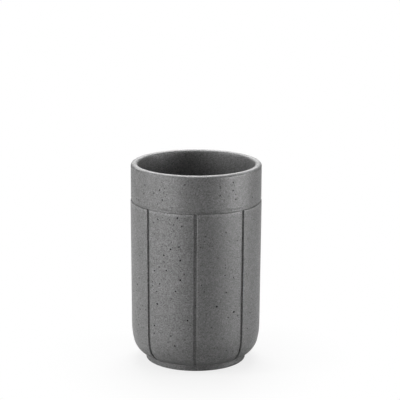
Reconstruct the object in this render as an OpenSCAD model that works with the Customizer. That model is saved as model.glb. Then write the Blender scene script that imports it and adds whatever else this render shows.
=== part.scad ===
// Bathroom tumbler: a cup cast in one piece from stone-filled resin, with a plain
// band at the lip, a ring groove under it, upright grooves that follow the wall down
// and round under to a low foot, and a foam grip pad stuck into the underside.
// Millimetres. The tumbler stands on Z = 0, its axis is Z, and one groove faces -Y.

/* [Overall] */
// Height from the table to the top of the lip
tumbler_h = 112; // [100:1:124]
// Diameter of the side wall at its foot, just above the rounded corner
wall_d = 71.5; // [66:0.5:76]
// Lean of the side wall in degrees, wider towards the top
wall_lean = 0.38; // [0:0.02:0.8]

/* [Lip band] */
// Height of the plain band between the ring groove and the top of the lip
band_h = 19.2; // [12:0.2:26]
// How far the band stands in from the grooved wall below it
band_step = 0.2; // [0.1:0.05:0.4]
// Thickness of the lip, from the band to the mouth
lip_t = 3.7; // [3.5:0.1:4.6]
// Radius on the outer edge of the lip
lip_outer_r = 1.7; // [1.2:0.1:1.9]
// Radius on the inner edge of the lip
lip_inner_r = 1.6; // [1:0.1:1.8]

/* [Ring groove] */
// Height of the groove that runs round under the band
ring_w = 1.7; // [1.2:0.1:2.4]
// Depth of the ring groove below the face of the band
ring_depth = 0.5; // [0.4:0.1:1.2]
// Radius on the band's lower edge
band_edge_r = 0.15; // [0.1:0.05:0.3]
// Radius on the wall's upper edge
wall_edge_r = 0.35; // [0.2:0.05:0.45]

/* [Upright grooves] */
// Number of upright grooves, evenly spaced round the wall
groove_count = 8; // [4:1:12]
// Width of an upright groove
groove_w = 1.8; // [1:0.1:3]
// Depth of an upright groove, square to the surface all the way down
groove_depth = 1; // [0.6:0.1:1.4]
// Ledge left between the end of an upright groove and the foot
groove_land = 0.3; // [0.2:0.1:1]

/* [Rounded corner and foot] */
// Radius of the corner that turns under to the foot
corner_r = 11; // [9:0.5:12]
// Radius of the long blend between the corner and the side wall
blend_r = 40; // [30:1:60]
// Angle that the blend turns through, in degrees
blend_sweep = 13; // [8:1:16]
// Diameter of the foot
foot_d = 55.5; // [52:0.5:58]
// Height of the foot, from its underside to the rounded corner
foot_h = 3.2; // [2.4:0.2:5]
// Radius on the bottom edge of the foot
foot_edge_r = 0.4; // [0.2:0.1:1]

/* [Inside] */
// Thickness of the floor, from the underside of the foot
floor_t = 7; // [6:0.5:9]
// Radius between the floor and the inner wall
floor_corner_r = 9; // [7:0.5:12]
// Lean of the inner wall in degrees, wider towards the mouth
inner_lean = 0.5; // [0:0.1:1]

/* [Grip pad] */
// How far the pad stands below the foot
pad_proud = 0.6; // [0.4:0.1:1]
// Thickness of the foam pad
pad_t = 1.5; // [1.2:0.1:2.5]
// Thickness of the adhesive film that holds the pad
film_t = 0.2; // [0.1:0.05:0.4]
// Width of the foot's bare ring round the recess for the pad
foot_ring_w = 3.5; // [2.5:0.25:6]
// Gap between the edge of the pad and the wall of its recess
pad_gap = 0.4; // [0.2:0.1:0.8]

/* [Hidden] */
$fn = 180;

// Direction of the first upright groove, towards -Y
front_angle = -90;
// Reach of the wedge that trims a circle to a bulge, as a share of its radius
bulge_reach_share = 1.5;
// Reach of a cutter beyond the surface that it cuts
cut_over = 1;

// Heights above the table
base_z = pad_proud;
ceiling_z = pad_t + film_t;
foot_top_z = base_z + foot_h;
floor_z = base_z + floor_t;
ring_top_z = tumbler_h - band_h;
ring_bottom_z = ring_top_z - ring_w;

// Radii from the axis
foot_r = foot_d / 2;
wall_r = wall_d / 2;
recess_r = foot_r - foot_ring_w;
pad_r = recess_r - pad_gap;

// The side wall leans out from its foot, the blend turns on from there, and the corner
// turns on from the blend and dies into the top edge of the foot.
blend_start_a = -wall_lean;
blend_end_a = blend_start_a - blend_sweep;
blend_off = on_arc([0, 0], blend_r, blend_start_a);
corner_off = on_arc([0, 0], blend_r - corner_r, blend_end_a);
corner_cr = wall_r - blend_off[0] + corner_off[0];
corner_cz = foot_top_z + sqrt(corner_r * corner_r - (foot_r - corner_cr) * (foot_r - corner_cr));
corner_c = [corner_cr, corner_cz];
blend_c = corner_c - corner_off;
wall_start_z = blend_c[1] + blend_off[1];
corner_end_a = -acos((foot_r - corner_cr) / corner_r);
wall_top_r = wall_r + (ring_bottom_z - wall_start_z) * tan(wall_lean);

// The band is upright, and the mouth is set in from it by the lip
band_r = wall_top_r - band_step;
ring_floor_r = band_r - ring_depth;
mouth_r = band_r - lip_t;
band_edge_c = [band_r - band_edge_r, ring_top_z + band_edge_r];
lip_outer_c = [band_r - lip_outer_r, tumbler_h - lip_outer_r];
lip_inner_c = [mouth_r + lip_inner_r, tumbler_h - lip_inner_r];

// The wall's upper edge leaves the leaned wall at a tangent
wall_edge_c = [
    wall_top_r - wall_edge_r * (tan(wall_lean) + 1 / cos(wall_lean)),
    ring_bottom_z - wall_edge_r
];

// The inner wall leaves the lip's inner edge at a tangent and meets the floor's corner at one
inner_a = 180 - inner_lean;
inner_top = on_arc(lip_inner_c, lip_inner_r, inner_a);
floor_corner_cz = floor_z + floor_corner_r;
inner_bottom_z = floor_corner_cz - floor_corner_r * sin(inner_lean);
inner_bottom_r = inner_top[0] - (inner_top[1] - inner_bottom_z) * tan(inner_lean);
floor_corner_c = [inner_bottom_r - floor_corner_r * cos(inner_lean), floor_corner_cz];

// Point at an angle on a circle round c, in degrees from the outward direction
function on_arc(c, r, a) = c + r * [cos(a), sin(a)];

// The space between an arc and its chord
module bulge(c, r, from_a, to_a) {
    reach = r * bulge_reach_share;
    intersection() {
        translate(c) circle(r);
        polygon([
            on_arc(c, r, from_a),
            on_arc(c, reach, from_a),
            on_arc(c, reach, (from_a + to_a) / 2),
            on_arc(c, reach, to_a),
            on_arc(c, r, to_a)
        ]);
    }
}

// Half of the cup's cross-section, from the axis outwards
module cup_section() {
    foot_edge_c = [foot_r - foot_edge_r, base_z + foot_edge_r];
    difference() {
        union() {
            polygon([
                [0, ceiling_z],
                [recess_r, ceiling_z],
                [recess_r, base_z],
                on_arc(foot_edge_c, foot_edge_r, -90),
                on_arc(foot_edge_c, foot_edge_r, 0),
                [foot_r, foot_top_z],
                on_arc(corner_c, corner_r, blend_end_a),
                [wall_r, wall_start_z],
                on_arc(wall_edge_c, wall_edge_r, -wall_lean),
                on_arc(wall_edge_c, wall_edge_r, 90),
                [ring_floor_r, ring_bottom_z],
                [ring_floor_r, ring_top_z],
                on_arc(band_edge_c, band_edge_r, -90),
                on_arc(band_edge_c, band_edge_r, 0),
                on_arc(lip_outer_c, lip_outer_r, 0),
                on_arc(lip_outer_c, lip_outer_r, 90),
                on_arc(lip_inner_c, lip_inner_r, 90),
                inner_top,
                [inner_bottom_r, inner_bottom_z],
                on_arc(floor_corner_c, floor_corner_r, -90),
                [0, floor_z]
            ]);
            bulge(foot_edge_c, foot_edge_r, -90, 0);
            bulge(corner_c, corner_r, corner_end_a, blend_end_a);
            bulge(blend_c, blend_r, blend_end_a, blend_start_a);
            bulge(wall_edge_c, wall_edge_r, -wall_lean, 90);
            bulge(band_edge_c, band_edge_r, -90, 0);
            bulge(lip_outer_c, lip_outer_r, 0, 90);
            bulge(lip_inner_c, lip_inner_r, 90, inner_a);
        }
        bulge(floor_corner_c, floor_corner_r, -90, -inner_lean);
    }
}

// Side view of what one upright groove takes away: all that lies outside a line
// that keeps the groove's depth from the wall, the blend and the corner
module groove_section() {
    top_r = wall_top_r - groove_depth / cos(wall_lean);
    inner_corner_r = corner_r - groove_depth;
    inner_blend_r = blend_r - groove_depth;
    difference() {
        translate([foot_r + groove_land, base_z])
            square([wall_top_r - foot_r + cut_over, ring_bottom_z - base_z]);
        polygon([
            [0, corner_cz - inner_corner_r],
            on_arc(corner_c, inner_corner_r, -90),
            on_arc(corner_c, inner_corner_r, blend_end_a),
            on_arc(blend_c, inner_blend_r, blend_start_a),
            [top_r, ring_bottom_z],
            [top_r, ring_bottom_z + cut_over],
            [0, ring_bottom_z + cut_over]
        ]);
        bulge(corner_c, inner_corner_r, -90, blend_end_a);
        bulge(blend_c, inner_blend_r, blend_end_a, blend_start_a);
    }
}

module upright_groove() {
    rotate([90, 0, 0])
        linear_extrude(groove_w, center = true)
            groove_section();
}

module cup() {
    color([0.45, 0.45, 0.45])
        difference() {
            rotate_extrude() cup_section();
            for (i = [0 : groove_count - 1])
                rotate([0, 0, front_angle + i * 360 / groove_count])
                    upright_groove();
        }
}

module pad_adhesive() {
    color([0.85, 0.83, 0.76])
        translate([0, 0, pad_t])
            cylinder(r = pad_r, h = film_t);
}

module grip_pad() {
    color([0.16, 0.16, 0.16])
        cylinder(r = pad_r, h = pad_t);
}

cup();
pad_adhesive();
grip_pad();
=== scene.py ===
import math
import random
from collections import namedtuple

import bmesh
import bpy
from mathutils import Matrix, Vector


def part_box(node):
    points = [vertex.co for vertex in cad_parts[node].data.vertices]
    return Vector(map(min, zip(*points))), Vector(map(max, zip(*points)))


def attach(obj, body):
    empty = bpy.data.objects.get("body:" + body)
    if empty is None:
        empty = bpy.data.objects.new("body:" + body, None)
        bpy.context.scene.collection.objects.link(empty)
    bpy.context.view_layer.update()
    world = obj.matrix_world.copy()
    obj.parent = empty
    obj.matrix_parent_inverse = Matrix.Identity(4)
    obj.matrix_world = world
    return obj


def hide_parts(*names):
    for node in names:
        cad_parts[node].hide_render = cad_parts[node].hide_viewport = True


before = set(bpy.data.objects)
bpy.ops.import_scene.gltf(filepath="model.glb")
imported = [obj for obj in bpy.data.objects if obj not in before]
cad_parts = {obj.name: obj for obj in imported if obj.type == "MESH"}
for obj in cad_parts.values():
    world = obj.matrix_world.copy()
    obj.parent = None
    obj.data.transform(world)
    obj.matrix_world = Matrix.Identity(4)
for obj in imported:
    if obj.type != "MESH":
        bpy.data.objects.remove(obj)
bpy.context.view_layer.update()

# Bathroom tumbler cast from stone-filled resin. Lengths are in metres, written in
# millimetres times MM. Angles are in degrees, and azimuths run from the front, -Y,
# towards +X.
MM = 0.001

# Lip band, and the ring groove under it
BAND_H = 19.2 * MM
BAND_STEP = 0.2 * MM
LIP_T = 3.7 * MM
LIP_OUTER_R = 1.7 * MM
LIP_INNER_R = 1.6 * MM
RING_W = 1.7 * MM
RING_DEPTH = 0.5 * MM
BAND_EDGE_R = 0.15 * MM
WALL_EDGE_R = 0.35 * MM

# Side wall, the long blend under it, the corner that turns under, and the foot
WALL_D = 71.5 * MM
WALL_LEAN = 0.38
CORNER_R = 11 * MM
BLEND_R = 40 * MM
BLEND_SWEEP = 13
FOOT_D = 55.5 * MM
FOOT_H = 3.2 * MM
FOOT_EDGE_R = 0.4 * MM
FOOT_RING_W = 3.5 * MM

# Upright grooves
GROOVES = 8
GROOVE_W = 1.8 * MM
GROOVE_DEPTH = 1 * MM
GROOVE_LAND = 0.3 * MM

# Inside
FLOOR_T = 7 * MM
FLOOR_CORNER_R = 9 * MM
INNER_LEAN = 0.5

# Eased edges that the mould leaves on the upright grooves and in the corners
EDGE_R = 0.35 * MM
ROOT_R = 0.2 * MM

# Mesh: the spacing of its rings outside and inside, the longest step along an arc, the
# cells across a panel, how many columns lie between two of the inside, and the fewest
# columns near the axis
CELL = 0.93 * MM
INNER_CELL = 2.6 * MM
ARC_STEP_ANGLE = 15
PANEL_CELLS = 28
INNER_STRIDE = 2
FEWEST_COLUMNS = 22

# Where a panel starts beside a groove's middle, and the radius under which its columns
# draw together towards the axis
SHOULDER_GAP = 0.1 * MM
SHOULDER = GROOVE_W / 2 + EDGE_R + SHOULDER_GAP
NARROWEST_R = 20 * MM

# Edges are crisp from this angle on
SHARP_ANGLE = 38

# Less than this share of a cell, or less than this length, doesn't count
SPARE_SHARE = 0.01
SPARE_LENGTH = 0.01 * MM

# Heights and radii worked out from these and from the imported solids
cup_low, cup_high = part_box("cup")
_, film_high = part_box("pad_adhesive")
pad_low, pad_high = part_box("grip_pad")
base_z, top_z, ceiling_z = cup_low.z, cup_high.z, film_high.z
foot_top_z = base_z + FOOT_H
floor_z = base_z + FLOOR_T
ring_top_z = top_z - BAND_H
ring_bottom_z = ring_top_z - RING_W
foot_r, wall_r = FOOT_D / 2, WALL_D / 2
recess_r = foot_r - FOOT_RING_W
groove_end_r = foot_r + GROOVE_LAND


def on_arc(centre, radius, degrees):
    """Point of the section at an angle on a circle, from the outward direction."""
    turn = math.radians(degrees)
    return centre + radius * Vector((math.cos(turn), math.sin(turn)))


# The side wall leans out from its foot, the blend turns on from there, and the corner
# turns on from the blend and dies into the top edge of the foot
axis_point = Vector((0, 0))
blend_start_a = -WALL_LEAN
blend_end_a = blend_start_a - BLEND_SWEEP
blend_off = on_arc(axis_point, BLEND_R, blend_start_a)
corner_off = on_arc(axis_point, BLEND_R - CORNER_R, blend_end_a)
corner_cr = wall_r - blend_off.x + corner_off.x
corner_cz = foot_top_z + math.sqrt(CORNER_R ** 2 - (foot_r - corner_cr) ** 2)
corner_c = Vector((corner_cr, corner_cz))
blend_c = corner_c - corner_off
wall_start_z = blend_c.y + blend_off.y
corner_end_a = -math.degrees(math.acos((foot_r - corner_cr) / CORNER_R))
blend_end_z = on_arc(corner_c, CORNER_R, blend_end_a).y


def wall_radius(z):
    """Radius of the leaned side wall at a height."""
    return wall_r + (z - wall_start_z) * math.tan(math.radians(WALL_LEAN))


wall_top_r = wall_radius(ring_bottom_z)
band_r = wall_top_r - BAND_STEP
ring_floor_r = band_r - RING_DEPTH
mouth_r = band_r - LIP_T
inner_foot_r = mouth_r - (top_z - floor_z) * math.tan(math.radians(INNER_LEAN))


def arc(centre, radius, start, end):
    """Points along an arc of the section, both ends included."""
    swing = abs(end - start)
    count = math.ceil(max(swing / ARC_STEP_ANGLE, math.radians(swing) * radius / CELL))
    return [on_arc(centre, radius, start + (end - start) * i / count) for i in range(count + 1)]


def rounded(outline):
    """Points along an outline of (x, y, radius) corners, each rounded to its radius."""
    points = []
    for i, (x, y, radius) in enumerate(outline):
        here = Vector((x, y))
        if not radius:
            points.append(here)
            continue
        to_last = (Vector(outline[i - 1][:2]) - here).normalized()
        to_next = (Vector(outline[i + 1][:2]) - here).normalized()
        half = to_last.angle(to_next) / 2
        centre = here + (to_last + to_next).normalized() * radius / math.sin(half)
        start = here + to_last * radius / math.tan(half) - centre
        end = here + to_next * radius / math.tan(half) - centre
        start_a = math.degrees(math.atan2(start.y, start.x))
        turn = (math.degrees(math.atan2(end.y, end.x)) - start_a + 180) % 360 - 180
        points += arc(centre, radius, start_a, start_a + turn)
    return points


def spaced(points, cell):
    """The same points, with more between any two that lie further apart than a cell."""
    filled = [points[0]]
    for last, point in zip(points, points[1:]):
        count = math.ceil((point - last).length / cell - SPARE_SHARE)
        filled += [last.lerp(point, i / count) for i in range(1, count)] + [point]
    return filled


def outer_section():
    """Points of the section from the recess under the foot, up the wall and over the lip."""
    corner = arc(corner_c, CORNER_R, corner_end_a, blend_end_a)
    blend = arc(blend_c, BLEND_R, blend_end_a, blend_start_a)
    outline = [
        (0, ceiling_z, 0),
        (recess_r, ceiling_z, ROOT_R),
        (recess_r, base_z, ROOT_R),
        (foot_r, base_z, FOOT_EDGE_R),
        *((point.x, point.y, 0) for point in corner + blend[1:]),
        (wall_top_r, ring_bottom_z, WALL_EDGE_R),
        (ring_floor_r, ring_bottom_z, ROOT_R),
        (ring_floor_r, ring_top_z, ROOT_R),
        (band_r, ring_top_z, BAND_EDGE_R),
        (band_r, top_z, LIP_OUTER_R),
        (mouth_r, top_z, LIP_INNER_R),
        (inner_foot_r, floor_z, 0),
    ]
    return spaced(rounded(outline)[1:-1], CELL)


def inner_section(start):
    """Points of the section from the lip's inner edge down the inner wall to the floor."""
    outline = [(*start, 0), (inner_foot_r, floor_z, FLOOR_CORNER_R), (0, floor_z, 0)]
    return spaced(rounded(outline)[:-1], INNER_CELL)[1:]


def groove_floor(point):
    """Where the floor of an upright groove lies under a point of the outer skin, or None."""
    if point.x <= groove_end_r or point.y > ring_bottom_z + SPARE_LENGTH:
        return None
    if point.y < blend_end_z:
        way_out = (point - corner_c).normalized()
    elif point.y < wall_start_z:
        way_out = (point - blend_c).normalized()
    else:
        sunk_r = wall_radius(point.y) - GROOVE_DEPTH
        return Vector((sunk_r, point.y)) if sunk_r < point.x else None
    sunk = point - way_out * GROOVE_DEPTH
    if sunk.x < groove_end_r:
        share = (point.x - groove_end_r) / (point.x - sunk.x)
        return Vector((groove_end_r, point.y + share * (sunk.y - point.y)))
    return sunk


# A ring of the mesh: its point of the section, the floor of the grooves there or None,
# and how many columns lie between two of its vertices
Row = namedtuple("Row", "at floor stride")

# A column of the mesh: the groove that it belongs to, how far it stands beside that
# groove's middle or None, and its share of the way over the panel or down the groove
Column = namedtuple("Column", "groove beside share")


def fewer_towards_axis(at, stride, columns):
    """Rows that close a flat round face, each with half as many vertices as the last."""
    rows = []
    while columns // stride > FEWEST_COLUMNS:
        at = Vector((at.x / 2, at.y))
        stride *= 2
        rows.append(Row(at, None, stride))
    return rows


def make_rows(columns):
    """All the rings of the cup's skin, from the middle of the underside to that of the floor."""
    outer = outer_section()
    inner = inner_section(outer[-1])
    rows = fewer_towards_axis(outer[0], 1, columns)[::-1]
    rows += [Row(at, groove_floor(at), 1) for at in outer]
    rows += [Row(at, None, INNER_STRIDE) for at in inner]
    return rows + fewer_towards_axis(inner[-1], INNER_STRIDE, columns)


def make_columns():
    """The columns of all grooves and panels, in order round the axis."""
    side = rounded([(0, GROOVE_DEPTH, 0), (GROOVE_W / 2, GROOVE_DEPTH, ROOT_R),
                    (GROOVE_W / 2, 0, EDGE_R), (SHOULDER, 0, 0)])
    half = [(point.x, point.y / GROOVE_DEPTH) for point in side]
    columns = []
    for groove in range(GROOVES):
        columns += [Column(groove, -beside, depth) for beside, depth in half[:0:-1]]
        columns += [Column(groove, beside, depth) for beside, depth in half]
        columns += [Column(groove, None, i / PANEL_CELLS) for i in range(1, PANEL_CELLS)]
    return columns


def skin_point(row, column):
    """Place of the vertex of a row and a column."""
    pitch = 2 * math.pi / GROOVES
    ahead = column.groove * pitch - math.pi / 2
    radius = max(row.at.x, NARROWEST_R)
    if column.beside is None:
        edge = math.asin(SHOULDER / radius)
        turn = ahead + edge + column.share * (pitch - 2 * edge)
        return Vector((row.at.x * math.cos(turn), row.at.x * math.sin(turn), row.at.y))
    out = math.sqrt(radius ** 2 - column.beside ** 2) * row.at.x / radius
    beside = column.beside * row.at.x / radius
    z = row.at.y
    if row.floor:
        out += column.share * (row.floor.x - out)
        z += column.share * (row.floor.y - z)
    return Vector((out * math.cos(ahead) - beside * math.sin(ahead),
                   out * math.sin(ahead) + beside * math.cos(ahead), z))


# A pore: its rings from the rim inwards, as shares of its radius and of its depth, its
# depth as a share of its width, the share of its depth at which its painted shade is full,
# and how uneven its rim is, as waves round it and the share of each
PORE_RING_SHARES = [(1.0, 0.0), (0.92, 0.3), (0.8, 0.7), (0.45, 0.95)]
PORE_DEPTH_SHARE = 1.1
PORE_FULL_SHADE_SHARE = 0.3
PORE_WAVE_SHARES = [(2, 0.14), (3, 0.07)]

# The cells that a pore takes each way, up to a width and above it
SMALL_PORE_W = 0.6 * MM
SMALL_PORE_CELLS = 2
LARGE_PORE_CELLS = 3


class Skin:
    """The cup's mesh while it is made: rings, the faces between them, and pores let into them."""

    def __init__(self, rows, columns):
        self.rows, self.columns = rows, columns
        self.places, self.faces, self.numbers = [], [], {}
        self.taken = set()
        self.sunk = {}

    def add(self, place):
        """Number of a new vertex."""
        self.places.append(place)
        return len(self.places) - 1

    def vertex(self, row, column):
        """Number of the vertex of a row and a column, made when it is first needed."""
        key = row, column % len(self.columns)
        if key not in self.numbers:
            self.numbers[key] = self.add(skin_point(self.rows[key[0]], self.columns[key[1]]))
        return self.numbers[key]

    def is_plain(self, row, column, span):
        """Whether a block of cells lies on a panel or the band and holds no pore yet."""
        for r in range(row, row + span + 1):
            at, floor, _ = self.rows[r]
            on_wall = floor is not None and at.y < ring_bottom_z - WALL_EDGE_R
            between_edges = ring_top_z + BAND_EDGE_R < at.y < top_z - LIP_OUTER_R
            on_band = between_edges and at.x > mouth_r
            if not (on_wall or on_band):
                return False
        for c in range(column, column + span + 1):
            beside = self.columns[c % len(self.columns)].beside
            if beside is not None and abs(beside) < SHOULDER:
                return False
        cells = self.block(row, column, span)
        return not cells & self.taken

    def block(self, row, column, span):
        """The cells of a square block."""
        return {(r, c % len(self.columns))
                for r in range(row, row + span) for c in range(column, column + span)}

    def edge_of(self, row, column, span):
        """Numbers of the vertices round a block, counter-clockwise from outside."""
        right, top = column + span, row + span
        corners = [(row, c) for c in range(column, right)]
        corners += [(r, right) for r in range(row, top)]
        corners += [(top, c) for c in range(right, column, -1)]
        corners += [(r, column) for r in range(top, row, -1)]
        return [self.vertex(r, c) for r, c in corners]

    def point_at(self, row, column):
        """Place on the skin at a row and a column that may lie between two of each."""
        r, c = math.floor(row), math.floor(column)
        low = self.corner(r, c).lerp(self.corner(r, c + 1), column - c)
        high = self.corner(r + 1, c).lerp(self.corner(r + 1, c + 1), column - c)
        return low.lerp(high, row - r)

    def corner(self, row, column):
        """Place of a vertex, whether or not it is used."""
        return skin_point(self.rows[row], self.columns[column % len(self.columns)])

    def pore(self, row, column, width, draw):
        """Lets in a pore with an uneven rim, a steep wall and a rounded bottom."""
        span = LARGE_PORE_CELLS if width > SMALL_PORE_W else SMALL_PORE_CELLS
        first_row = math.floor(row + span / 2) - span + 1
        first_column = math.floor(column + span / 2) - span + 1
        if not self.is_plain(first_row, first_column, span):
            return
        self.taken |= self.block(first_row, first_column, span)
        edge = self.edge_of(first_row, first_column, span)
        middle = self.point_at(row, column)
        across = (self.places[edge[span]] - self.places[edge[0]]).normalized()
        way_in = across.cross(self.places[edge[0]] - self.places[edge[-span]]).normalized()
        up = across.cross(way_in)
        depth = width * PORE_DEPTH_SHARE
        phases = [draw.uniform(0, 2 * math.pi) for _ in PORE_WAVE_SHARES]
        last = edge
        for reach, sink in PORE_RING_SHARES:
            ring = []
            for number in edge:
                away = self.places[number] - middle
                turn = math.atan2(away.dot(up), away.dot(across))
                out = width / 2 * reach
                for (waves, share), phase in zip(PORE_WAVE_SHARES, phases):
                    out *= 1 + share * math.sin(waves * turn + phase)
                ring.append(self.add(middle + way_in * depth * sink
                                     + (across * math.cos(turn) + up * math.sin(turn)) * out))
                # Painted shade, deepening down the pore
                self.sunk[ring[-1]] = min(sink / PORE_FULL_SHADE_SHARE, 1.0)
            self.bridge(last, ring)
            last = ring
        bottom = self.add(middle + way_in * depth)
        self.sunk[bottom] = 1.0
        self.fan(last, bottom)

    def bridge(self, outer, inner):
        """Faces between two rings with the same number of vertices."""
        for i, (a, b) in enumerate(zip(outer, inner)):
            after = (i + 1) % len(outer)
            self.faces.append((a, outer[after], inner[after], b))

    def fan(self, ring, middle):
        """Faces from a ring to one vertex in its middle."""
        for a, b in zip(ring, ring[1:] + ring[:1]):
            self.faces.append((a, b, middle))

    def skin_over(self):
        """Faces of every cell that no pore has taken."""
        for r, (low, high) in enumerate(zip(self.rows, self.rows[1:])):
            stride = max(low.stride, high.stride)
            for c in range(0, len(self.columns), stride):
                if (r, c) in self.taken:
                    continue
                a, b = self.vertex(r, c), self.vertex(r, c + stride)
                d, e = self.vertex(r + 1, c), self.vertex(r + 1, c + stride)
                if low.stride == high.stride:
                    self.faces.append((a, b, e, d))
                elif low.stride < high.stride:
                    m = self.vertex(r, c + low.stride)
                    self.faces += [(a, m, d), (m, e, d), (m, b, e)]
                else:
                    m = self.vertex(r + 1, c + high.stride)
                    self.faces += [(a, m, d), (a, b, m), (b, e, m)]

    def close_ends(self):
        """Closes the middle of the underside and of the floor."""
        for r in (0, len(self.rows) - 1):
            row = self.rows[r]
            ring = [self.vertex(r, c) for c in range(0, len(self.columns), row.stride)]
            self.fan(ring, self.add(Vector((0, 0, row.at.y))))


# Random pores: the seed, how many are tried, and their widths, most of them small
PORE_SEED = 7
PORE_TRIES = 1500
LEAST_PORE_W = 0.35 * MM
PORE_W_RANGE = 0.55 * MM
PORE_W_POWER = 4

# The pores that show most from the front, by their width: azimuth in degrees, and height
# in millimetres
WIDE_PORE_W = 1.15 * MM
MIDDLE_PORE_W = 0.95 * MM
NARROW_PORE_W = 0.75 * MM
SEEN_PORES = {
    WIDE_PORE_W: [(-13, 65.5), (-13, 54.5), (19, 39.5), (-35, 39.5), (36, 35)],
    MIDDLE_PORE_W: [(-14, 73), (-28, 67.5), (-15.5, 89), (37, 98), (-6.5, 32), (-18, 17)],
    NARROW_PORE_W: [(-34, 87), (34, 103), (-29.5, 98), (-33, 60.5), (26.5, 56.5), (30, 32.5),
                    (9, 79), (34, 107.5), (21.5, 101), (-11.5, 84.5), (-9.5, 58), (-32.5, 51),
                    (-21.5, 22.5), (33.5, 59), (35, 54.5), (52, 74.5), (14.5, 28), (27, 80.5)],
}


def cell_at(skin, azimuth, height):
    """Row and column, with their fractions, at an azimuth and a height on the outer skin."""
    for r, (low, high) in enumerate(zip(skin.rows, skin.rows[1:])):
        if low.at.x > groove_end_r and low.at.y <= height < high.at.y:
            break
    else:
        return None
    pitch = 360 / GROOVES
    groove = math.floor(azimuth / pitch)
    edge = math.degrees(math.asin(SHOULDER / low.at.x))
    share = (azimuth - groove * pitch - edge) / (pitch - 2 * edge)
    per_groove = len(skin.columns) // GROOVES
    first = (groove % GROOVES) * per_groove + per_groove - PANEL_CELLS
    row = r + (height - low.at.y) / (high.at.y - low.at.y)
    return row, first + share * PANEL_CELLS


def let_in_pores(skin):
    """Lets in the pores seen from the front, then others of like sizes all round."""
    draw = random.Random(PORE_SEED)
    pores = [(width, azimuth, height * MM)
             for width, spots in SEEN_PORES.items() for azimuth, height in spots]
    for _ in range(PORE_TRIES):
        azimuth = draw.uniform(-180, 180)
        height = draw.uniform(foot_top_z, top_z)
        width = LEAST_PORE_W + PORE_W_RANGE * draw.random() ** PORE_W_POWER
        pores.append((width, azimuth, height))
    for width, azimuth, height in pores:
        cell = cell_at(skin, azimuth, height)
        if cell:
            skin.pore(*cell, width, draw)


# Mesh attributes: one is 0 on the skin and rises to 1 down in the pores, where shade is
# painted into the colour; the other is 0 on the open skin, below 0 where shade is painted
# into creases, groove floors and the inside, and above 0 where a highlight is painted
# onto an edge
IN_PORE = "in_pore"
PAINTED_LIGHT = "painted_light"

# Painted highlight (above 0) and painted shade (below 0) of each region, and how far
# down from the lip, the ring groove or the rim inside each reaches
LIP_HIGHLIGHT = 1
GROOVE_EDGE_HIGHLIGHT = 1
RING_EDGE_HIGHLIGHT = 1.8
CREASE_SHADE = -1.1
GROOVE_FLOOR_SHADE = -0.35
INSIDE_SHADE = -0.9
LIP_HIGHLIGHT_H = 0.7 * MM
RING_HIGHLIGHT_H = 1.6 * MM
INSIDE_SHADE_H = 14 * MM


def painted_light_at(row, column):
    """Painted highlight or painted shade of the skin at a row and a column."""
    at, beside, share = row.at, column.beside, column.share
    # Painted shade down the inside, and on the middle of the underside, which the pad hides
    if row.stride > 1:
        return INSIDE_SHADE * min((top_z - at.y) / INSIDE_SHADE_H, 1)
    # Painted highlight on the lip's crest
    if at.y > top_z - LIP_HIGHLIGHT_H:
        return LIP_HIGHLIGHT
    # Painted shade in the crease under the band
    if ring_top_z - ROOT_R <= at.y < ring_top_z:
        return CREASE_SHADE
    if row.floor is None:
        return 0
    # Painted highlight on the eased edges of the upright grooves
    if beside is not None and 0 < share < EDGE_R / GROOVE_DEPTH:
        return GROOVE_EDGE_HIGHLIGHT
    # Painted shade on the floors and in the roots of the upright grooves
    if beside is not None and abs(beside) < GROOVE_W / 2:
        in_root = share > 1 - ROOT_R / GROOVE_DEPTH and abs(beside) >= GROOVE_W / 2 - ROOT_R
        return CREASE_SHADE if in_root else GROOVE_FLOOR_SHADE
    # Painted highlight on the wall's top edge under the ring groove, fading downwards
    below = ring_bottom_z - at.y
    rise, fall = below / WALL_EDGE_R, (RING_HIGHLIGHT_H - below) / (RING_HIGHLIGHT_H - WALL_EDGE_R)
    return RING_EDGE_HIGHLIGHT * max(min(rise, fall), 0)


def add_attribute(obj, name, values):
    """A mesh attribute with one number for each vertex, 0 where none is given."""
    attribute = obj.data.attributes.new(name, "FLOAT", "POINT")
    count = len(obj.data.vertices)
    attribute.data.foreach_set("value", [values.get(i, 0.0) for i in range(count)])


def make_object(name, places, faces):
    """A mesh object with smooth faces and crisp edges."""
    mesh = bpy.data.meshes.new(name)
    mesh.from_pydata([tuple(place) for place in places], [], faces)
    shape = bmesh.new()
    shape.from_mesh(mesh)
    bmesh.ops.recalc_face_normals(shape, faces=shape.faces)
    shape.to_mesh(mesh)
    shape.free()
    mesh.shade_smooth()
    mesh.set_sharp_from_angle(angle=math.radians(SHARP_ANGLE))
    obj = bpy.data.objects.new(name, mesh)
    bpy.context.scene.collection.objects.link(obj)
    return obj


def make_cup():
    """The casting as one mesh: wall, grooves, pores, foot and inside."""
    columns = make_columns()
    skin = Skin(make_rows(len(columns)), columns)
    let_in_pores(skin)
    skin.skin_over()
    skin.close_ends()
    cup = make_object("tumbler_cup", skin.places, skin.faces)
    # Painted highlights on edges, and painted shade in creases, groove floors and inside
    painted_light = {number: painted_light_at(skin.rows[r], skin.columns[c])
            for (r, c), number in skin.numbers.items()}
    # Painted shade down in the pores
    add_attribute(cup, IN_PORE, skin.sunk)
    add_attribute(cup, PAINTED_LIGHT, painted_light)
    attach(cup, "root")
    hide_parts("cup")
    return cup


# Ranges of a texture's value that a material makes use of
WIDE = (0.25, 0.75)
NARROW = (0.3, 0.7)
WHOLE = (0.0, 1.0)


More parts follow.
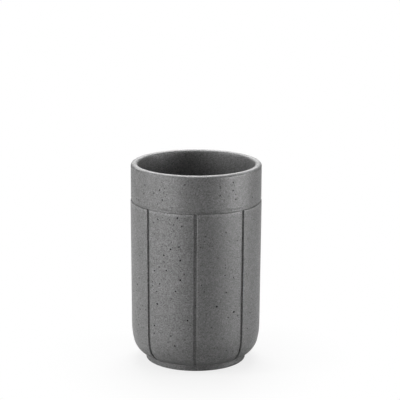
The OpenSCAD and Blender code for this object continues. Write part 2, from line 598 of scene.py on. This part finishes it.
class Nodes:
    """Adds nodes to one material and links them."""

    def __init__(self, name):
        self.material = bpy.data.materials.new(name)
        self.material.use_nodes = True
        self.tree = self.material.node_tree
        self.shader = self.tree.nodes["Principled BSDF"]
        self.place = self.add("ShaderNodeTexCoord").outputs["Object"]

    def add(self, kind, **settings):
        """A new node with its settings."""
        node = self.tree.nodes.new(kind)
        for name, value in settings.items():
            setattr(node, name, value)
        return node

    def feed(self, socket, value):
        """Links an input to another node's output, or gives it a constant."""
        if isinstance(value, bpy.types.NodeSocket):
            self.tree.links.new(value, socket)
        else:
            socket.default_value = value

    def set(self, node, **values):
        """Feeds the inputs of a node, named with _ for each space."""
        for name, value in values.items():
            self.feed(node.inputs[name.replace("_", " ")], value)
        return node

    def noise(self, feature, detail=2.0, roughness=0.5):
        """Cloudy noise whose features have a real width."""
        node = self.set(self.add("ShaderNodeTexNoise"), Vector=self.place, Scale=1 / feature,
                        Detail=detail, Roughness=roughness)
        return node.outputs["Fac"]

    def cells(self, spacing):
        """Uneven cells of a real width: the distance from a cell's middle, and its colour."""
        node = self.set(self.add("ShaderNodeTexVoronoi"), Vector=self.place, Scale=1 / spacing)
        return node.outputs

    def attribute(self, name):
        """The number that the mesh carries at a vertex."""
        return self.add("ShaderNodeAttribute", attribute_name=name).outputs["Fac"]

    def remap(self, value, span, ends):
        """The value carried over from one range to another."""
        node = self.set(self.add("ShaderNodeMapRange"), Value=value, From_Min=span[0],
                        From_Max=span[1], To_Min=ends[0], To_Max=ends[1])
        return node.outputs["Result"]

    def vary(self, value, span, share):
        """A factor that goes by a share to either side of 1 as the value goes over a range."""
        return self.remap(value, span, (1 - share, 1 + share))

    def math(self, operation, first, second):
        """The result of an operation on two values."""
        node = self.add("ShaderNodeMath", operation=operation)
        for socket, value in zip(node.inputs, (first, second)):
            self.feed(socket, value)
        return node.outputs["Value"]

    def product(self, first, *others):
        """All the values multiplied."""
        for other in others:
            first = self.math("MULTIPLY", first, other)
        return first

    def tint(self, tone, colour):
        """A colour made darker or lighter by a tone."""
        red, green, blue = (self.math("MULTIPLY", tone, part) for part in colour)
        node = self.set(self.add("ShaderNodeCombineColor"), Red=red, Green=green, Blue=blue)
        return node.outputs["Color"]

    def bump(self, height, distance, normal=None):
        """A normal bent by a relief, on top of another normal if one is given."""
        node = self.set(self.add("ShaderNodeBump"), Height=height, Distance=distance)
        if normal is not None:
            self.set(node, Normal=normal)
        return node.outputs["Normal"]


# Stone: its colour, the widths of its grain, and the share by which each one varies the
# colour
STONE_COLOUR = (0.19, 0.19, 0.19)
FINE_GRAIN = 0.45 * MM
FINE_SHARE = 0.46
CRYSTAL = 0.6 * MM
CRYSTAL_SHARE = 0.24
COARSE_GRAIN = 1.6 * MM
COARSE_SHARE = 0.07
MOTTLE = 14 * MM
MOTTLE_SHARE = 0.03

# Its roughness over the fine grain, the height of that grain, and how far the painted
# highlights and painted shade change the colour
STONE_ROUGHNESS = (0.5, 0.36)
FINE_RELIEF = 0.1 * MM
PAINTED_LIGHT_RANGE = (-2.0, 2.0)
PAINTED_LIGHT_SHARE = 0.52

# Its pinholes: their spacing, the radii of their bottom and rim as shares of it, their
# depth, and the share of the colour that is left in a pinhole and in a pore, as painted
# shade in these hollows
PINHOLE_SPACING = 1.3 * MM
PINHOLE_R_SHARES = (0.15, 0.22)
PINHOLE_DEPTH = 0.12 * MM
PINHOLE_SHADED_COLOUR_SHARE = 0.35
PORE_SHADED_COLOUR_SHARE = 0.15


def stone_material():
    """Matt cast stone resin: grey filler of mixed grain with fine open pinholes."""
    n = Nodes("stone_resin")
    fine = n.noise(FINE_GRAIN, detail=3.0, roughness=0.6)
    crystal = n.set(n.add("ShaderNodeSeparateColor"), Color=n.cells(CRYSTAL)["Color"])
    pinhole = n.remap(n.cells(PINHOLE_SPACING)["Distance"], PINHOLE_R_SHARES, WHOLE)
    in_pore = n.attribute(IN_PORE)
    tone = n.product(
        n.vary(fine, WIDE, FINE_SHARE),
        n.vary(crystal.outputs["Red"], WHOLE, CRYSTAL_SHARE),
        n.vary(n.noise(COARSE_GRAIN), WIDE, COARSE_SHARE),
        n.vary(n.noise(MOTTLE), NARROW, MOTTLE_SHARE),
        # Painted shade in the pinholes
        n.remap(pinhole, WHOLE, (PINHOLE_SHADED_COLOUR_SHARE, 1.0)),
        # Painted shade down in the pores
        n.remap(in_pore, WHOLE, (1.0, PORE_SHADED_COLOUR_SHARE)),
        # Painted highlights on edges, and painted shade in creases, groove floors and inside
        n.vary(n.attribute(PAINTED_LIGHT), PAINTED_LIGHT_RANGE, PAINTED_LIGHT_SHARE),
    )
    roughness = n.math("MAXIMUM", n.remap(fine, NARROW, STONE_ROUGHNESS), in_pore)
    normal = n.bump(fine, FINE_RELIEF, n.bump(pinhole, PINHOLE_DEPTH))
    n.set(n.shader, Base_Color=n.tint(tone, STONE_COLOUR), Roughness=roughness, Normal=normal)
    return n.material


# Foam: its colour, its cells with the tones from their middle to their rim, which paint
# shade into each cell's hollow, and the clouds over them with the share by which they
# vary the colour
FOAM_COLOUR = (0.03, 0.03, 0.03)
FOAM_ROUGHNESS = 0.92
FOAM_CELL = 0.35 * MM
FOAM_CELL_RANGE = (0.0, 0.6)
FOAM_CELL_SHADE_TONES = (0.5, 1.3)
FOAM_CELL_DEPTH = 0.08 * MM
FOAM_CLOUD = 3 * MM
FOAM_CLOUD_SHARE = 0.15


def foam_material():
    """Black closed-cell foam: small round cells cut open by the die."""
    n = Nodes("foam_pad")
    cell = n.cells(FOAM_CELL)["Distance"]
    # Painted shade in each cell's hollow middle, lighter towards its rim
    tone = n.product(n.remap(cell, FOAM_CELL_RANGE, FOAM_CELL_SHADE_TONES),
                     n.vary(n.noise(FOAM_CLOUD), NARROW, FOAM_CLOUD_SHARE))
    n.set(n.shader, Base_Color=n.tint(tone, FOAM_COLOUR), Roughness=FOAM_ROUGHNESS,
          Normal=n.bump(cell, FOAM_CELL_DEPTH))
    return n.material


# Adhesive film: its colour, and the width, the tones and the height of its ripple
FILM_COLOUR = (0.7, 0.67, 0.58)
FILM_ROUGHNESS = 0.45
FILM_RIPPLE = 0.9 * MM
FILM_TONES = (0.92, 1.06)
FILM_RELIEF = 0.02 * MM


def film_material():
    """Cream adhesive film with the faint ripple of its carrier."""
    n = Nodes("adhesive_film")
    ripple = n.noise(FILM_RIPPLE)
    tone = n.remap(ripple, NARROW, FILM_TONES)
    n.set(n.shader, Base_Color=n.tint(tone, FILM_COLOUR), Roughness=FILM_ROUGHNESS,
          Normal=n.bump(ripple, FILM_RELIEF))
    return n.material


def dress(obj, material):
    """Gives an object one material all over."""
    obj.data.materials.clear()
    obj.data.materials.append(material)


def turned(name, outline, columns):
    """A closed turned solid from an outline that starts and ends on the axis."""
    rings = rounded(outline)
    places, faces = [], []
    for point in rings[1:-1]:
        for c in range(columns):
            turn = 2 * math.pi * c / columns
            places.append(Vector((point.x * math.cos(turn), point.x * math.sin(turn), point.y)))
    rows = len(rings) - 2
    for r in range(rows - 1):
        for c in range(columns):
            after = (c + 1) % columns
            faces.append((r * columns + c, r * columns + after,
                          (r + 1) * columns + after, (r + 1) * columns + c))
    for r, end in ((0, rings[0]), (rows - 1, rings[-1])):
        places.append(Vector((0, 0, end.y)))
        faces += [(r * columns + c, r * columns + (c + 1) % columns, len(places) - 1)
                  for c in range(columns)]
    return make_object(name, places, faces)


# Foam pad: the radii of its lower and upper edges, and the columns of its mesh
PAD_LOWER_R = 0.35 * MM
PAD_UPPER_R = 0.12 * MM
PAD_COLUMNS = 144


def make_grip_pad():
    """Foam disc: a softly rounded lower edge, and a top edge pressed against the film."""
    radius = pad_high.x
    pad = turned("foam_grip_pad", [
        (0, pad_low.z, 0),
        (radius, pad_low.z, PAD_LOWER_R),
        (radius, pad_high.z, PAD_UPPER_R),
        (0, pad_high.z, 0),
    ], PAD_COLUMNS)
    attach(pad, "root")
    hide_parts("grip_pad")
    return pad


# View of the photo: where the camera stands, and the pixel on which it sees the point
# of the axis that it is measured from
VIEW_TARGET_Z = 55.6 * MM
VIEW_DISTANCE = 997.6 * MM
VIEW_ELEVATION = 15.44
VIEW_AZIMUTH = 0.6
VIEW_ROLL = 0.204
TARGET_PIXEL = (195.91, 261.14)
FOCAL_PIXELS = 1789.8
IMAGE_PIXELS = 400

# Width of the camera's sensor, which Blender takes in millimetres
SENSOR = 36

view_target = Vector((0, 0, VIEW_TARGET_Z))


def add_camera():
    """Camera that sees the tumbler as the photo does."""
    turn = math.radians(VIEW_ELEVATION)
    back = Vector((0, -math.cos(turn), math.sin(turn)))
    right = Vector((1, 0, 0))
    level = Matrix((right, back.cross(right), back)).transposed()
    roll = Matrix.Rotation(math.radians(VIEW_ROLL), 3, "Z")
    middle = IMAGE_PIXELS / 2
    seen = roll @ Vector((TARGET_PIXEL[0] - middle, middle - TARGET_PIXEL[1], -FOCAL_PIXELS))
    aim = seen.rotation_difference(Vector((0, 0, -1))).to_matrix()
    facing = (level @ aim @ roll).to_4x4()
    eye = Matrix.Translation(view_target + back * VIEW_DISTANCE)
    round_axis = Matrix.Rotation(math.radians(VIEW_AZIMUTH), 4, "Z")
    data = bpy.data.cameras.new("camera")
    data.sensor_width = SENSOR
    data.lens = FOCAL_PIXELS / IMAGE_PIXELS * SENSOR
    camera = bpy.data.objects.new("camera", data)
    camera.matrix_world = round_axis @ eye @ facing
    bpy.context.scene.collection.objects.link(camera)
    bpy.context.scene.camera = camera


# The strength of the light from all round, and plain white
WORLD_STRENGTH = 0.04
WHITE = (1, 1, 1)


def add_world():
    """Even dim light all round, and white where the camera sees past the floor."""
    world = bpy.data.worlds.new("world")
    bpy.context.scene.world = world
    world.use_nodes = True
    tree = world.node_tree
    dim, white = tree.nodes["Background"], tree.nodes.new("ShaderNodeBackground")
    for node, strength in ((dim, WORLD_STRENGTH), (white, 1)):
        node.inputs["Color"].default_value = (*WHITE, 1)
        node.inputs["Strength"].default_value = strength
    path = tree.nodes.new("ShaderNodeLightPath")
    mix = tree.nodes.new("ShaderNodeMixShader")
    tree.links.new(path.outputs["Is Camera Ray"], mix.inputs["Fac"])
    tree.links.new(dim.outputs["Background"], mix.inputs[1])
    tree.links.new(white.outputs["Background"], mix.inputs[2])
    tree.links.new(mix.outputs["Shader"], tree.nodes["World Output"].inputs["Surface"])


# Soft plain lamps round the tumbler: azimuth, elevation, and then distance, width and
# height in metres and power in watts
LAMPS = {
    "left": (-75, 13, 0.9, 0.22, 0.9, 6.7),
    "right": (90, 12, 0.9, 0.22, 0.9, 3.0),
    "top": (0, 88, 0.8, 0.6, 0.6, 2.6),
    "back": (180, 60, 0.9, 0.5, 0.4, 6.0),
}

# Lamps that only add to the sheen of the skin
GLOSS_LAMPS = {
    "gloss_back": (180, 35, 1.2, 1.6, 0.5, 12.0),
    "gloss_left": (-42, 3, 0.8, 0.22, 0.3, 4.4),
    "gloss_right": (54, 3, 0.8, 0.22, 0.3, 3.0),
    "gloss_far_right": (80, 3, 0.8, 0.22, 0.3, 6.2),
}


def add_softbox(name, azimuth, elevation, distance, width, height, power):
    """A plain area light that faces the tumbler's middle."""
    data = bpy.data.lights.new(name, "AREA")
    data.shape = "RECTANGLE"
    data.size, data.size_y = width, height
    data.energy = power
    lamp = bpy.data.objects.new(name, data)
    a, e = math.radians(azimuth), math.radians(elevation)
    back = Vector((math.sin(a) * math.cos(e), -math.cos(a) * math.cos(e), math.sin(e)))
    lamp.location = view_target + back * distance
    lamp.rotation_euler = back.to_track_quat("Z", "Y").to_euler()
    lamp.visible_camera = False
    bpy.context.scene.collection.objects.link(lamp)
    return lamp


def add_lights():
    """All the lamps, those for gloss without their plain light."""
    for name, values in LAMPS.items():
        add_softbox(name, *values)
    for name, values in GLOSS_LAMPS.items():
        add_softbox(name, *values).visible_diffuse = False


# Floor: its side in metres, its grey as it lights the tumbler and as the camera sees it,
# how far out its shadow shows, and the share of the shaded floor in its look at the foot
FLOOR_SIDE = 12
FLOOR_ROUGHNESS = 0.9
FLOOR_BOUNCE_GREY = 0.7
FLOOR_SEEN_GREY = 0.8
SHADOW_REACH = 90 * MM
SHADOW_SHARE = 0.2


def floor_material():
    """Pale floor that keeps the shadow near the tumbler and is plain white beyond."""
    n = Nodes("floor")
    to_camera = n.add("ShaderNodeLightPath").outputs["Is Camera Ray"]
    grey = n.remap(to_camera, WHOLE, (FLOOR_BOUNCE_GREY, FLOOR_SEEN_GREY))
    n.set(n.shader, Base_Color=n.tint(grey, WHITE), Roughness=FLOOR_ROUGHNESS,
          Specular_IOR_Level=0.0)
    away = n.set(n.add("ShaderNodeVectorMath", operation="LENGTH"), Vector=n.place)
    far = n.remap(away.outputs["Value"], (foot_r, SHADOW_REACH), (1 - SHADOW_SHARE, 1.0))
    white = n.set(n.add("ShaderNodeEmission"), Strength=1.0)
    mix = n.add("ShaderNodeMixShader")
    n.feed(mix.inputs["Fac"], n.math("MULTIPLY", far, to_camera))
    n.feed(mix.inputs[1], n.shader.outputs["BSDF"])
    n.feed(mix.inputs[2], white.outputs["Emission"])
    n.feed(n.tree.nodes["Material Output"].inputs["Surface"], mix.outputs["Shader"])
    return n.material


def add_floor():
    """Plain floor that the tumbler stands on, kept out of the part."""
    half = FLOOR_SIDE / 2
    floor = make_object("floor", [(-half, -half, 0), (half, -half, 0), (half, half, 0),
                                  (-half, half, 0)], [(0, 1, 2, 3)])
    dress(floor, floor_material())


cup = make_cup()
dress(cup, stone_material())
dress(make_grip_pad(), foam_material())
dress(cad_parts["pad_adhesive"], film_material())
add_camera()
add_world()
add_lights()
add_floor()

bpy.context.scene.view_settings.view_transform = "Standard"
